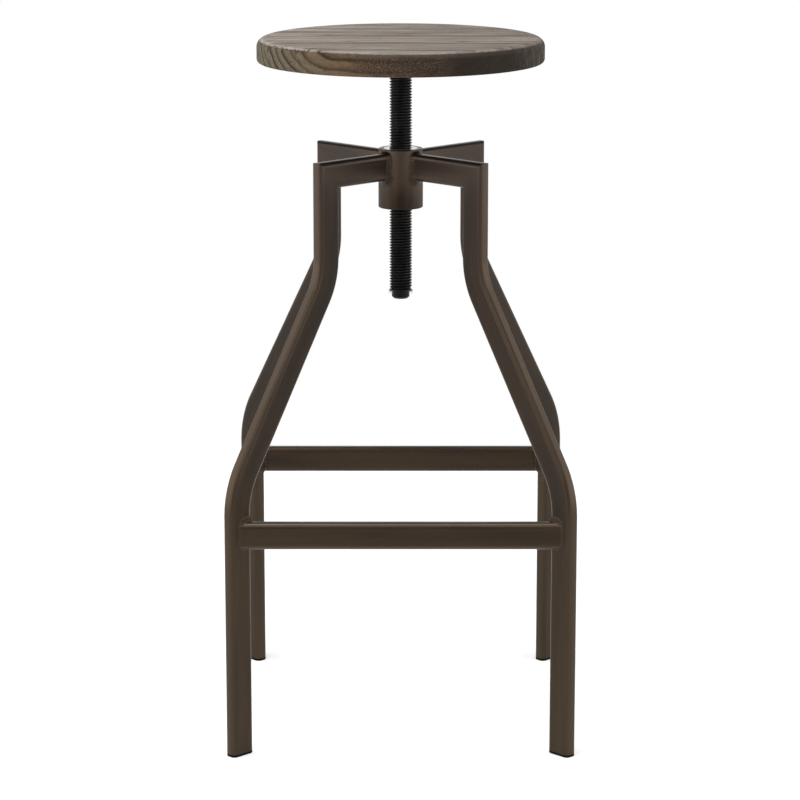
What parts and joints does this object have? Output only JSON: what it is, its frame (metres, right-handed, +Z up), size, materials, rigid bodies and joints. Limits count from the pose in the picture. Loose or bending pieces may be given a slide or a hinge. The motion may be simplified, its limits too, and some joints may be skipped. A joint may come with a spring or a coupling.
{
  "type": "bar stool",
  "caption": "Backless bar stool: round wooden seat on a coarse screw that turns in a welded hub, carried by bent flat-tube legs with a front and a rear footrest bar.",
  "frame": {"origin": "on the floor, midway between the four feet", "axes": "+Z up along the screw, -Y towards the front, +X to the right as seen from the front"},
  "size_m": [0.3834, 0.3834, 0.7741],
  "materials": {
    "seat_wood": "weathered grey-brown stain, open grain, matt",
    "frame_lacquer": "dark bronze satin lacquer on steel",
    "black_steel": "blackened, satin",
    "bright_steel": "bare machined steel",
    "cap_plastic": "black moulded plastic, matt"
  },
  "bodies": {
    "frame": {"hub_barrel": "frame_lacquer", "hub_nut": "bright_steel", "hub_welds": "frame_lacquer", "arm_front_left": "frame_lacquer", "arm_front_right": "frame_lacquer", "arm_rear_left": "frame_lacquer", "arm_rear_right": "frame_lacquer", "leg_front_left": "frame_lacquer", "leg_front_right": "frame_lacquer", "leg_rear_left": "frame_lacquer", "leg_rear_right": "frame_lacquer", "front_stretcher": "frame_lacquer", "rear_stretcher": "frame_lacquer", "stretcher_welds": "frame_lacquer", "foot_cap_front_left": "cap_plastic", "foot_cap_front_right": "cap_plastic", "foot_cap_rear_left": "cap_plastic", "foot_cap_rear_right": "cap_plastic"},
    "washer": {"stop_washer": "black_steel"},
    "seat": {"spindle": "black_steel", "stop_pin": "bright_steel", "seat_flange": "frame_lacquer", "flange_weld": "frame_lacquer", "seat_screws": "bright_steel", "seat_board_1": "seat_wood", "seat_board_2": "seat_wood", "seat_board_3": "seat_wood", "seat_board_4": "seat_wood"}
  },
  "joints": [
    {"name": "seat_lift", "type": "slide", "parent": "frame", "child": "washer", "axis": [0, 0, 1], "range_m": [-0.0884, 0.0924]},
    {"name": "seat_turn", "type": "hinge", "parent": "washer", "child": "seat", "pos_m": [0, 0, 0.49], "axis": [0, 0, 1], "range_deg": [-10020, 10470]}
  ],
  "couplings": [
    {"joint": "seat_lift", "follows": "seat_turn", "m_per_rad": 0.00050532}
  ]
}
